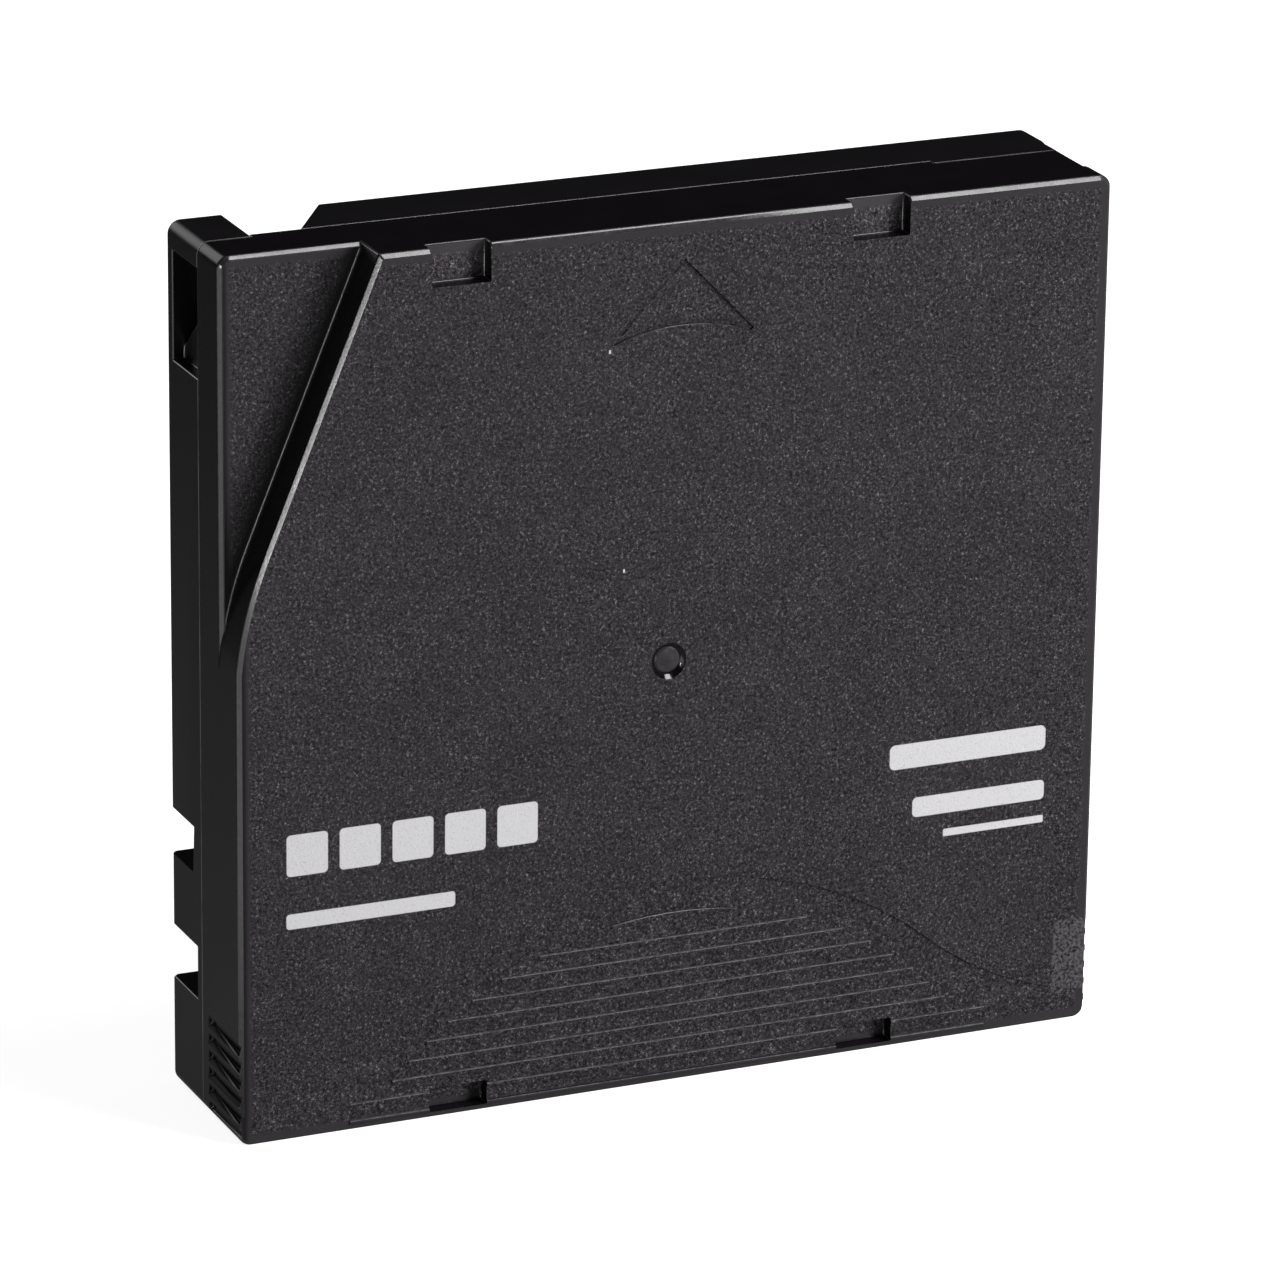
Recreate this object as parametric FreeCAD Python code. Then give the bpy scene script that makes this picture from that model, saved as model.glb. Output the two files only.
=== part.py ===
import FreeCAD, Part
import math
import os

os.makedirs("parts", exist_ok=True)

# Half-inch data tape cartridge with one reel, all sizes in mm.
# It is drawn lying on its underside: x runs across it, y from the rear edge to the front
# (insertion) edge, z from the underside to the top face.  stand() then sets every piece on
# the rear edge, so that the front edge points up and the top face looks along -Y.

V = FreeCAD.Vector

# ---- reel and the room around it, which set the size of the case ----
FLANGE_R = 48.0
FLANGE_GAP = 1.2                # to the front and rear walls
LEFT_GAP = 1.75                 # to the left wall
RIGHT_GAP = 4.05                # to the right wall, with the door and its spring between

# ---- case ----
WALL = 1.8
THICK = 21.5
LENGTH = 2 * (FLANGE_R + FLANGE_GAP + WALL)
WIDTH = 2 * (FLANGE_R + WALL) + LEFT_GAP + RIGHT_GAP
HALF = WIDTH / 2
HUB_X = -HALF + WALL + LEFT_GAP + FLANGE_R
HUB_Y = LENGTH / 2
SKIN = 1.5                      # wall left behind recesses, pockets and notches
PLAN_R = 1.5                    # radius of the four upright corners
BEVEL = 0.5
PART_Z = 9.8                    # height of the joint between the two shells
FRONT_PART_Z = 8.8              # the joint steps down along the front wall
FRONT_STEP = (-HALF + 6.4, HALF - 16.7)     # across the front wall, from corner to corner
FLOOR = WALL
CEIL = THICK - WALL

# ---- guide recess, front left corner of the top face ----
GUIDE_DEPTH = 5.3
GUIDE_R = FLANGE_R - 0.6
GUIDE_ANGLE = 22.2              # slope of the straight wall against the side, degrees
GUIDE_RUN_OUT = 0.25            # the curved wall leaves the side this far outside it
SHELF = THICK - GUIDE_DEPTH

# ---- shallow pockets on the front and rear edges of the top face ----
EDGE_POCKET_W = 7.0
EDGE_POCKET_DEPTH = 2.0
FRONT_POCKET_L = 4.4            # open at the front edge
REAR_POCKET_Y = (0.75, 3.6)     # closed by a rim at the rear edge
EDGE_POCKET_OFFSET = 25.25      # either side of the reel axis

# ---- ribbed field at the rear of the top face, under a bell-shaped line ----
FIELD_DEPTH = 0.2
BELL_TOP = 24.5
BELL_R = 49.8
BELL_ANGLE = 40.0
BELL_FLARE_R = 41.9
BELL_FLARE_END = 8.5
RIB_FIRST = 0.95
RIB_PITCH = 2.07
RIB_COUNT = 9
RIB_INSET = 3.9
RIB_LONG_HALF = 39.5            # the two rearmost ribs run this far either side
RIB_LONG_COUNT = 2
RIB_BASE = 0.7
RIB_TOP = 0.3
RIB_ARC_ANGLE = 9.7
RIB_ROOT = 0.1                  # the ribs are rooted this far below the field

# ---- engraved insertion arrow ----
ARROW_TIP_Y = LENGTH - 4.4
ARROW_BASE_Y = ARROW_TIP_Y - 8.6
ARROW_HALF = 8.25
ARROW_BOW = 1.5
ARROW_LINE = 0.55
ARROW_DEPTH = 0.25

# ---- gate dimple over the reel axis, with a sloped wall ----
DIMPLE_R = 2.15
DIMPLE_FLOOR_R = 1.45
DIMPLE_DEPTH = 0.7

# ---- grip grooves, upper half of both sides ----
GROOVE_FIRST = 1.35
GROOVE_PITCH = 2.05
GROOVE_COUNT = 6
GROOVE_W = 1.5
GROOVE_BED = 0.4
GROOVE_DEPTH = 0.55
GROOVE_FOOT = 11.5
GROOVE_HEAD = THICK - 0.35      # they run out in the bevel of the top face

# ---- handling notches in the underside ----
NOTCH_DEPTH = 4.8
SIDE_NOTCHES = ((27.9, 33.3, 7.2), (13.0, 19.4, 8.1))   # from y, to y, height
CORNER_NOTCH_X = (FRONT_STEP[0], FRONT_STEP[0] + 6.0, FRONT_STEP[0] + 11.6)     # wall, ramp

# ---- pocket in the left side, behind the front corner ----
SIDE_POCKET_Y = (LENGTH - 15.6, LENGTH - 3.0)
SIDE_POCKET_Z = (1.8, 9.6)
SIDE_POCKET_DEPTHS = (1.4, 3.2)
SIDE_POCKET_STEP_Y = (SIDE_POCKET_Y[0] + 1.6, SIDE_POCKET_Y[0] + 8.2)   # slanted step

# ---- rear label recess ----
LABEL_HALF = HALF - 13.1
LABEL_Z = (2.2, 18.6)
LABEL_DEPTH = 0.3

# ---- hub opening and the lip that the reel rests on ----
OPENING_R = 17.5
LIP_R = 19.0
REEL_Z = 2.6

# ---- screws ----
SCREW_SPOTS = (
    (-HALF + 16.2, LENGTH - 9.0),       # front left, behind the corner notch
    (HALF - 19.7, LENGTH - 5.2),        # front right, clear of the pin and the reel
    (-HALF + 17.0, 6.8),                # rear left, beside the slider
    (HALF - 19.3, 6.8),                 # rear right, beside the memory board
)
BOSS_R = 3.0
POST_SIDES = 8                  # bosses, shanks and their holes have flats
SHANK_R = 1.1                   # to the corners, as for BOSS_R and SHANK_HOLE_R
SHANK_HOLE_R = 1.4
HEAD_R = 2.0
HEAD_HOLE_R = 2.25
HEAD_SEAT_Z = 2.4
HEAD_H = 1.6
SCREW_TIP_Z = 16.0

# ---- locating hole in the underside ----
LOCATE_SPOT = (-HALF + 7.7, LENGTH - 19.5)
LOCATE_R = 2.0
LOCATE_DEPTH = 4.0

# ---- reel ----
FLANGE_T = 0.9
HUB_R = 22.0
HUB_IN_R = 19.6
PACK_R = FLANGE_R - 1.5
TAPE_W = 12.65
TAPE_GAP = 0.15                 # between the tape and each flange
LOWER_FLANGE_Z = 3.0
TAPE_Z = LOWER_FLANGE_Z + FLANGE_T + TAPE_GAP
UPPER_FLANGE_Z = TAPE_Z + TAPE_W + TAPE_GAP
WEB_T = 2.1
WEB_TOP = REEL_Z + WEB_T

# ---- shape shared by all the face teeth ----
TOOTH_TIP_SHARE = 0.55          # width of a tooth's tip against its foot
TOOTH_ROOT = 0.2                # depth that a tooth is rooted in its ring
TOOTH_END = 0.1                 # a tooth stops this far short of both edges of its ring

# ---- drive teeth under the hub ----
DRIVE_IN_R = 13.2
DRIVE_OUT_R = 16.9
DRIVE_TEETH = 48
DRIVE_SKIP = 1                  # teeth left out either side of each leg of the brake release
DRIVE_H = 1.8

# ---- clutch plate, the steel washer that the drive's magnet holds ----
PLATE_R = 11.5
PLATE_IN_R = 3.5
PLATE_T = 0.9

# ---- brake: a toothed button in the hub, and the release plate under it ----
LEGS = 3
BRAKE_IN_R = 16.2
BRAKE_OUT_R = 19.0
BRAKE_TEETH = 24
BRAKE_TOOTH_H = 1.4
BRAKE_BACKLASH = 0.12
BUTTON_Z = 6.6
BUTTON_T = 1.7
BUTTON_R = 19.1
SLEEVE_R = 5.4
SLEEVE_TOP = 13.5
SOCKET_FLOOR = 7.6
KEY_L = 7.6
KEY_W = 2.4
KEY_GAP = 0.15
KEY_FOOT = 10.5
RELEASE_T = 1.2
RELEASE_R = 5.5
RELEASE_ARM_W = 3.4
LEG_IN_R = 13.5
LEG_OUT_R = 15.3
LEG_FOOT = 0.9
LEG_GAP = 0.25
BRAKE_COIL_R = 7.2
BRAKE_WIRE_R = 0.4
BRAKE_TURNS = 4

# ---- access door in the right side ----
RECESS = 1.3                    # the door's face sits this far inside the side of the case
DOOR_T = 1.2
DOOR_GAP = 0.1
DOOR_Y = (LENGTH - 18.0, LENGTH - 2.2)
DOOR_Z = (1.4, 20.1)
DOOR_TRAVEL = 15.0
WINDOW_Y = (DOOR_Y[0] + 1.0, DOOR_Y[1] - 1.8)
WINDOW_Z = (2.3, 19.2)
FINGER_Z = (4.9, 16.8)          # channel that lets the drive's finger in at the front corner
LIP_Y = (DOOR_Y[1] - 1.5, DOOR_Y[1] - 0.2)
LIP_Z = (6.0, 15.6)
LIP_OUT = 1.1
LIP_ROOT = 0.2
TAB_REACH = 2.5
TAB_L = 1.2
TAB_Z = (8.2, 13.3)
RAIL_X = (HALF - 3.6, HALF - 2.7)
RAIL_H = 1.4
SPRING_Z = 10.75
SPRING_X = HALF - 3.75
SPRING_SEAT_Y = HUB_Y + 0.2
SPRING_SEAT_T = 1.2
SPRING_SEAT_IN = HALF - 5.3
SPRING_R = 1.1
SPRING_WIRE_R = 0.18
SPRING_TURNS = 7
COIL_STEPS = 8                  # straight lengths of wire in one turn
COIL_SIDES = 4                  # flats round the wire

# ---- leader pin, parked behind the door ----
PIN_X = HALF - 8.7
PIN_Y = LENGTH - 10.0
PIN_R = 1.25
PIN_COLLAR_R = 2.6
PIN_COLLAR_T = 0.3
PIN_PAD_X = (PIN_X - 5.8, PIN_X + 5.0)
PIN_PAD_HALF = 2.6
CLAMP_R = 2.1
CLAMP_MOUTH = 90.0
CLIP_T = 0.3
CLIP_GAP = 0.05
CLIP_H = 1.1
CLIP_BEND_X = PIN_X - 3.2
CLIP_STOP_T = 1.0
CLIP_END_X = PIN_X + 2.4
LEADER_T = 0.15
LEADER_GAP = 0.3                # from the wound tape, so that the reel turns clear of it

# ---- write-protect slider in the rear wall ----
TAB_WINDOW_X = (-HALF + 2.5, -HALF + 12.1)
TAB_WINDOW_Z = 4.6
SLIDER_X = (-HALF + 2.1, -HALF + 14.1)
SLIDER_Y = (1.9, 3.3)
SLIDER_Z = (1.9, 10.6)
THUMB_X = (SLIDER_X[0] + 0.6, SLIDER_X[0] + 5.0)
THUMB_Y = 0.5
THUMB_Z = (4.9, 9.5)
SLIDER_RIB_Y = (3.45, 4.6)
SLIDER_RIB_X = SLIDER_X[1] + 1.6
SLIDER_RIB_TOP = PART_Z - 0.8
THUMB_GRIPS = 3
THUMB_GRIP_W = 0.5
THUMB_GRIP_DEPTH = 0.4

# ---- memory board, leaning in the rear right corner ----
BOARD_X = (HALF - 15.1, HALF - 2.6)
BOARD_L = 11.0
BOARD_T = 0.8
BOARD_SUM = 12.4                # y + z of the board's outer face
CHIP_SIDE = 4.0
CHIP_T = 0.9
GUSSET_IN = 1.0                 # from the ends of the board
GUSSET_T = 1.2

# ---- arc walls around the reel ----
ARC_GAP = 1.4
ARC_R = FLANGE_R + ARC_GAP
ARC_T = 1.0
ARC_SPANS = ((105, 160), (200, 255), (285, 335))


# ---------------------------------------------------------------- helpers

def box(x, y, z):
    """Block between three pairs of coordinates."""
    return Part.makeBox(x[1] - x[0], y[1] - y[0], z[1] - z[0], V(x[0], y[0], z[0]))


def disc(r, z, spot=(HUB_X, HUB_Y)):
    """Upright cylinder between two heights."""
    return Part.makeCylinder(r, z[1] - z[0], V(spot[0], spot[1], z[0]))


def ring(r_in, r_out, z, spot=(HUB_X, HUB_Y)):
    return disc(r_out, z, spot).cut(disc(r_in, z, spot))


def prism(points, z):
    """Upright prism on an outline of (x, y) points."""
    corners = [V(x, y, z[0]) for x, y in points]
    face = Part.Face(Part.makePolygon(corners + corners[:1]))
    return face.extrude(V(0, 0, z[1] - z[0]))


def post(r, z, spot):
    """Upright post with flats, r to its corners."""
    step = 360.0 / POST_SIDES
    return prism([polar(r, (i + 0.5) * step, spot) for i in range(POST_SIDES)], z)


def side_prism(points, x):
    """Prism along x on an outline of (y, z) points."""
    corners = [V(x[0], y, z) for y, z in points]
    face = Part.Face(Part.makePolygon(corners + corners[:1]))
    return face.extrude(V(x[1] - x[0], 0, 0))


def front_prism(points, y):
    """Prism along y on an outline of (x, z) points."""
    corners = [V(x, y[0], z) for x, z in points]
    face = Part.Face(Part.makePolygon(corners + corners[:1]))
    return face.extrude(V(0, y[1] - y[0], 0))


def turned(shape, degrees, spot=(HUB_X, HUB_Y)):
    copy = shape.copy()
    copy.rotate(V(spot[0], spot[1], 0), V(0, 0, 1), degrees)
    return copy


def joined(shapes):
    return shapes[0].multiFuse(shapes[1:]).removeSplitter()


def both_sides(shape):
    """The shape and its mirror image across the case."""
    return [shape, shape.mirror(V(0, 0, 0), V(1, 0, 0))]


def polar(r, degrees, spot=(HUB_X, HUB_Y)):
    angle = math.radians(degrees)
    return (spot[0] + r * math.cos(angle), spot[1] + r * math.sin(angle))


def sector(r, start, end, z, spot=(HUB_X, HUB_Y)):
    """Pie slice used to trim rings."""
    middle = (start + end) / 2
    reach = r / math.cos(math.radians((end - start) / 4))
    points = [spot]
    for angle in (start, (start + middle) / 2, middle, (middle + end) / 2, end):
        points.append(polar(reach * 1.2, angle, spot))
    return prism(points, z)


def face_teeth(r_in, r_out, root, tip, count, gap=0.0):
    """Straight-sided teeth standing on a ring; root and tip are heights, gap thins them."""
    step = 2 * math.pi / count
    foot = step * r_in / 4 - gap
    head = foot * TOOTH_TIP_SHARE
    sink = TOOTH_ROOT if tip > root else -TOOTH_ROOT
    outline = [(-foot, root - sink), (foot, root - sink), (foot, root), (head, tip),
               (-head, tip), (-foot, root)]
    tooth = side_prism(outline, (r_in + TOOTH_END, r_out - TOOTH_END))
    teeth = []
    for i in range(count):
        copy = tooth.copy()
        copy.translate(V(HUB_X, HUB_Y, 0))
        teeth.append(turned(copy, 360.0 * i / count))
    return teeth


def facet(points):
    return Part.Face(Part.makePolygon(points + points[:1]))


def coil(r, wire_r, length, turns):
    """Compression spring along z from 0 to length, drawn with flat-sided wire."""
    steps = turns * COIL_STEPS
    rise = length - 2 * wire_r
    sections = []
    for i in range(steps + 1):
        along = 2 * math.pi * i / COIL_STEPS
        section = []
        for k in range(COIL_SIDES):
            around = 2 * math.pi * k / COIL_SIDES
            out = r + wire_r * math.cos(around)
            z = wire_r + rise * i / steps + wire_r * math.sin(around)
            section.append(V(out * math.cos(along), out * math.sin(along), z))
        sections.append(section)
    faces = [facet(sections[0]), facet(sections[-1])]
    for near, far in zip(sections, sections[1:]):
        for k in range(COIL_SIDES):
            n = (k + 1) % COIL_SIDES
            faces.append(facet([near[k], near[n], far[k]]))
            faces.append(facet([near[n], far[n], far[k]]))
    return Part.Solid(Part.makeShell(faces))


# ---------------------------------------------------------------- case outline

def rounded_block(z):
    block = box((-HALF, HALF), (0, LENGTH), z)
    upright = [e for e in block.Edges if abs(e.BoundBox.ZLength - (z[1] - z[0])) < 1e-6]
    return block.makeFillet(PLAN_R, upright)


def bevelled(block, heights):
    """Bevel all edges that lie flat at the given heights."""
    edges = []
    for e in block.Edges:
        flat = e.BoundBox.ZLength < 1e-6
        if flat and min(abs(e.BoundBox.ZMin - h) for h in heights) < 1e-6:
            edges.append(e)
    return block.makeChamfer(BEVEL, edges)


def guide_wire(grow, z):
    """Outline of the corner beside the slanted guide wall, grown towards the reel by grow."""
    r = GUIDE_R - grow
    centre = (-HALF - GUIDE_RUN_OUT + GUIDE_R, HUB_Y)
    slope = math.radians(GUIDE_ANGLE)
    head = LENGTH + GUIDE_DEPTH
    bend = polar(r, 180 - GUIDE_ANGLE, centre)
    middle = polar(r, 180 - GUIDE_ANGLE / 2, centre)
    foot = polar(r, 180, centre)
    top = (bend[0] + (head - bend[1]) * math.tan(slope), head)
    out = -HALF - GUIDE_DEPTH

    def at(point):
        return V(point[0], point[1], z)

    return Part.Wire([
        Part.Arc(at(foot), at(middle), at(bend)).toShape(),
        Part.makeLine(at(bend), at(top)),
        Part.makeLine(at(top), at((out, head))),
        Part.makeLine(at((out, head)), at((out, foot[1]))),
        Part.makeLine(at((out, foot[1])), at(foot)),
    ])


def guide_recess(grow, z):
    face = Part.Face(guide_wire(grow, z[0]))
    return face.extrude(V(0, 0, z[1] - z[0]))


def guide_bevel():
    """Slanted cutter that bevels the top edge of the guide wall."""
    over = 0.1
    low = guide_wire(0, THICK - BEVEL)
    high = guide_wire(BEVEL + over, THICK + over)
    return Part.makeLoft([low, high], True, True)


def outer_block():
    """Outside of the closed case: full height, with the lower shelf in the guide corner."""
    tall = bevelled(rounded_block((0, THICK)), (0, THICK))
    tall = tall.cut(guide_recess(0, (-1, THICK + 1))).cut(guide_bevel())
    low = bevelled(rounded_block((0, SHELF)), (0, SHELF))
    return tall.fuse(low).removeSplitter()


def cavity():
    """Hollow inside the closed case."""
    hollow = box((-HALF + WALL, HALF - WALL), (WALL, LENGTH - WALL), (FLOOR, CEIL))
    return hollow.cut(guide_recess(SKIN, (SHELF - SKIN, THICK)))


def lower_zone():
    """Space below the joint between the shells."""
    zone = box((-HALF - 1, HALF + 1), (-1, LENGTH + 1), (-1, PART_Z))
    step = box(FRONT_STEP, (LENGTH - WALL, LENGTH + 1), (FRONT_PART_Z, PART_Z))
    return zone.cut(step)


def arc_walls(z):
    walls = []
    for start, end in ARC_SPANS:
        wall = ring(ARC_R, ARC_R + ARC_T, z).common(sector(ARC_R + ARC_T, start, end, z))
        walls.append(wall)
    return walls


# ---------------------------------------------------------------- shared cutters

def label_recess():
    return box((-LABEL_HALF, LABEL_HALF), (-1, LABEL_DEPTH), LABEL_Z)


def door_channel():
    """Slot behind the thinned side wall that the door slides in, with its end stops."""
    face = HALF - RECESS
    x = (face - DOOR_T - DOOR_GAP, face + DOOR_GAP)
    y = (DOOR_Y[0] - DOOR_TRAVEL - 2 * DOOR_GAP, DOOR_Y[1] + 2 * DOOR_GAP)
    return box(x, y, (DOOR_Z[0] - DOOR_GAP, DOOR_Z[1] + DOOR_GAP))


def door_openings():
    """Window for the pin, slot for the door's lip, and the finger channel at the corner."""
    face = HALF - RECESS
    window = box((face - DOOR_T, HALF + 1), WINDOW_Y, WINDOW_Z)
    slot_y = (LIP_Y[0] - DOOR_TRAVEL - 2 * DOOR_GAP, WINDOW_Y[0] + 1)
    slot_z = (LIP_Z[0] - 3 * DOOR_GAP, LIP_Z[1] + 3 * DOOR_GAP)
    slot = box((face, HALF + 1), slot_y, slot_z)
    channel = box((face, HALF + 1), (WINDOW_Y[1] - 1, LENGTH + 1), FINGER_Z)
    return [window, slot, channel]


def pin_pad(z):
    y = (PIN_Y - PIN_PAD_HALF, PIN_Y + PIN_PAD_HALF)
    return box(PIN_PAD_X, y, z)


def clip_stop(z):
    """Block that the bend of a pin clip rests against."""
    x = CLIP_BEND_X - PIN_R - CLIP_GAP - CLIP_T
    return box((x - CLIP_STOP_T, x), (PIN_Y - PIN_R, PIN_Y + PIN_R), z)


def door_rail(z):
    y = (DOOR_Y[0] - DOOR_TRAVEL, PIN_Y - PIN_PAD_HALF)
    return box(RAIL_X, y, z)


def spring_seat(z):
    return box((SPRING_SEAT_IN, HALF - WALL), (SPRING_SEAT_Y - SPRING_SEAT_T, SPRING_SEAT_Y), z)


# ---------------------------------------------------------------- lower shell

def side_notch(y, height, grow):
    x = (-HALF - 1, -HALF + NOTCH_DEPTH + grow)
    return box(x, (y[0] - grow, y[1] + grow), (-1, height + grow))


def corner_notch(grow):
    """Notch in the front wall beside the corner block, with one ramped wall."""
    wall, head, foot = CORNER_NOTCH_X
    top = FRONT_PART_Z
    slope = (foot - head) / top
    outline = [(wall - grow, -1), (wall - grow, top), (head + grow, top),
               (foot + slope + grow, -1)]
    return front_prism(outline, (LENGTH - NOTCH_DEPTH - grow, LENGTH + 1))


def side_pocket(grow):
    """Two-level pocket in the left side; the deeper part starts at a slanted step."""
    y0, y1 = SIDE_POCKET_Y
    z0, z1 = SIDE_POCKET_Z
    shallow, deep = SIDE_POCKET_DEPTHS
    foot, head = SIDE_POCKET_STEP_Y
    if grow:
        return box((-HALF, -HALF + deep + grow), (y0 - grow, y1 + grow), (FLOOR, PART_Z))
    full = box((-HALF - 1, -HALF + shallow), (y0, y1), (z0, z1))
    inner = side_prism([(foot, z0), (y1, z0), (y1, z1), (head, z1)],
                       (-HALF - 1, -HALF + deep))
    return full.fuse(inner)


def board_gussets():
    """Sloped ribs that the memory board leans on."""
    top = PART_Z
    outline = [(FLOOR, FLOOR), (BOARD_SUM - FLOOR, FLOOR), (BOARD_SUM - top, top), (FLOOR, top)]
    near = BOARD_X[0] + GUSSET_IN
    far = BOARD_X[1] - GUSSET_IN
    spans = ((near, near + GUSSET_T), (far - GUSSET_T, far))
    return [side_prism(outline, span) for span in spans]


def lower_shell():
    zone = lower_zone()
    blank = outer_block().common(zone)
    shell = blank.cut(cavity())
    inside = [ring(OPENING_R, LIP_R, (FLOOR, REEL_Z))]
    inside += arc_walls((FLOOR, PART_Z))
    inside += [post(BOSS_R, (FLOOR, PART_Z), spot) for spot in SCREW_SPOTS]
    inside.append(post(LOCATE_R + SKIN, (FLOOR, LOCATE_DEPTH + SKIN), LOCATE_SPOT))
    for y0, y1, height in SIDE_NOTCHES:
        inside += both_sides(side_notch((y0, y1), height, SKIN))
    inside.append(corner_notch(SKIN))
    inside.append(side_pocket(SKIN))
    inside += board_gussets()
    inside.append(box((-HALF + WALL, SLIDER_RIB_X), SLIDER_RIB_Y, (FLOOR, SLIDER_RIB_TOP)))
    inside.append(pin_pad((FLOOR, WINDOW_Z[0])))
    inside.append(clip_stop((FLOOR, WINDOW_Z[0] + CLIP_H)))
    inside.append(door_rail((FLOOR, FLOOR + RAIL_H)))
    inside.append(spring_seat((FLOOR, PART_Z)))
    shell = joined([shell] + [piece.common(blank) for piece in inside])

    cutters = [disc(OPENING_R, (-1, REEL_Z + 1))]
    for y0, y1, height in SIDE_NOTCHES:
        cutters += both_sides(side_notch((y0, y1), height, 0))
    cutters.append(corner_notch(0))
    cutters.append(side_pocket(0))
    cutters.append(disc(LOCATE_R, (-1, LOCATE_DEPTH), LOCATE_SPOT))
    for spot in SCREW_SPOTS:
        cutters.append(post(SHANK_HOLE_R, (-1, PART_Z + 1), spot))
        cutters.append(disc(HEAD_HOLE_R, (-1, HEAD_SEAT_Z), spot))
    cutters.append(box(TAB_WINDOW_X, (-1, WALL + 0.01), (TAB_WINDOW_Z, PART_Z + 1)))
    cutters.append(label_recess())
    cutters.append(door_channel())
    cutters += door_openings()
    return shell.cut(joined(cutters)).removeSplitter()


# ---------------------------------------------------------------- upper shell

def bell_field():
    """Area behind the bell-shaped line on the top face, as a thin slab."""
    centre = (0, BELL_TOP - BELL_R)
    shoulder = polar(BELL_R, 90 - BELL_ANGLE, centre)
    away = math.radians(90 - BELL_ANGLE)
    reach = BELL_R + BELL_FLARE_R
    flare = (centre[0] + reach * math.cos(away), centre[1] + reach * math.sin(away))
    middle = polar(BELL_FLARE_R, 270 - (BELL_ANGLE + BELL_FLARE_END) / 2, flare)
    end = polar(BELL_FLARE_R, 270 - BELL_FLARE_END, flare)
    z = THICK - FIELD_DEPTH

    def at(point, side=1):
        return V(side * point[0], point[1], z)

    low = (end[0], -1)
    wire = Part.Wire([
        Part.Arc(at(shoulder, -1), V(0, BELL_TOP, z), at(shoulder)).toShape(),
        Part.Arc(at(shoulder), at(middle), at(end)).toShape(),
        Part.makeLine(at(end), at(low)),
        Part.makeLine(at(low), at(low, -1)),
        Part.makeLine(at(low, -1), at(end, -1)),
        Part.Arc(at(end, -1), at(middle, -1), at(shoulder, -1)).toShape(),
    ])
    return Part.Face(wire).extrude(V(0, 0, 1))


def field_ribs():
    """Fine cross ribs in the field, level with the top face; their ends follow a circle."""
    circle_y = BELL_TOP - BELL_R
    circle_r = BELL_R - RIB_INSET
    z0 = THICK - FIELD_DEPTH - RIB_ROOT
    ribs = []
    for i in range(RIB_COUNT):
        y = RIB_FIRST + i * RIB_PITCH
        half = RIB_LONG_HALF
        if i >= RIB_LONG_COUNT:
            half = math.sqrt(circle_r ** 2 - (y - circle_y) ** 2)
        outline = [(y - RIB_BASE / 2, z0), (y + RIB_BASE / 2, z0),
                   (y + RIB_TOP / 2, THICK), (y - RIB_TOP / 2, THICK)]
        ribs.append(side_prism(outline, (-half, half)))
    spot = (0, circle_y)
    arc = ring(circle_r - RIB_TOP, circle_r + RIB_TOP / 2, (z0, THICK), spot)
    slice_z = (z0 - 1, THICK + 1)
    ribs.append(arc.common(sector(circle_r, 90 - RIB_ARC_ANGLE, 90 + RIB_ARC_ANGLE, slice_z, spot)))
    return ribs


def arrow_lines():
    """Outline of the insertion arrow: two straight strokes and a bowed base."""
    z = (THICK - ARROW_DEPTH, THICK + 1)
    half = ARROW_LINE / 2
    length = math.hypot(ARROW_HALF, ARROW_TIP_Y - ARROW_BASE_Y)
    lean = math.degrees(math.atan2(ARROW_TIP_Y - ARROW_BASE_Y, ARROW_HALF))
    stroke = box((-half, length), (-half, half), z)
    stroke.rotate(V(0, 0, 0), V(0, 0, 1), 180 - lean)
    stroke.translate(V(ARROW_HALF, ARROW_BASE_Y, 0))
    bow_r = (ARROW_HALF ** 2 + ARROW_BOW ** 2) / (2 * ARROW_BOW)
    spot = (0, ARROW_BASE_Y + ARROW_BOW - bow_r)
    spread = math.degrees(math.asin(ARROW_HALF / bow_r))
    base = ring(bow_r - half, bow_r + half, z, spot)
    base = base.common(sector(bow_r, 90 - spread, 90 + spread, z, spot))
    return both_sides(stroke) + [base]


def edge_pockets(grow):
    """Four shallow pockets, two on the front edge and two on the rear edge."""
    pockets = []
    for side in (-1, 1):
        x = HUB_X + side * EDGE_POCKET_OFFSET
        span = (x - EDGE_POCKET_W / 2 - grow, x + EDGE_POCKET_W / 2 + grow)
        z = (THICK - EDGE_POCKET_DEPTH - grow, THICK + 1)
        pockets.append(box(span, (REAR_POCKET_Y[0] - grow, REAR_POCKET_Y[1] + grow), z))
        pockets.append(box(span, (LENGTH - FRONT_POCKET_L - grow, LENGTH + 1), z))
    return pockets


def grip_grooves():
    """Six upright grooves with sloped walls at the rear of each side."""
    z = (GROOVE_FOOT, GROOVE_HEAD)
    bed = GROOVE_BED / 2
    mouth = GROOVE_W / 2
    grooves = []
    for i in range(GROOVE_COUNT):
        y = GROOVE_FIRST + i * GROOVE_PITCH
        outline = [(-HALF - 1, y - mouth), (-HALF, y - mouth), (-HALF + GROOVE_DEPTH, y - bed),
                   (-HALF + GROOVE_DEPTH, y + bed), (-HALF, y + mouth), (-HALF - 1, y + mouth)]
        grooves += both_sides(prism(outline, z))
    return grooves


def gate_dimple():
    """Round dimple with a sloped wall, where the plastic was let into the mould."""
    floor = V(HUB_X, HUB_Y, THICK - DIMPLE_DEPTH)
    return Part.makeCone(DIMPLE_FLOOR_R, DIMPLE_R, DIMPLE_DEPTH, floor)


def brake_key(grow, z):
    """Cross-shaped key that stops the brake button from turning."""
    half_l = KEY_L / 2 + grow
    half_w = KEY_W / 2 + grow
    one = box((HUB_X - half_l, HUB_X + half_l), (HUB_Y - half_w, HUB_Y + half_w), z)
    return one.fuse(turned(one, 90)).removeSplitter()


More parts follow.
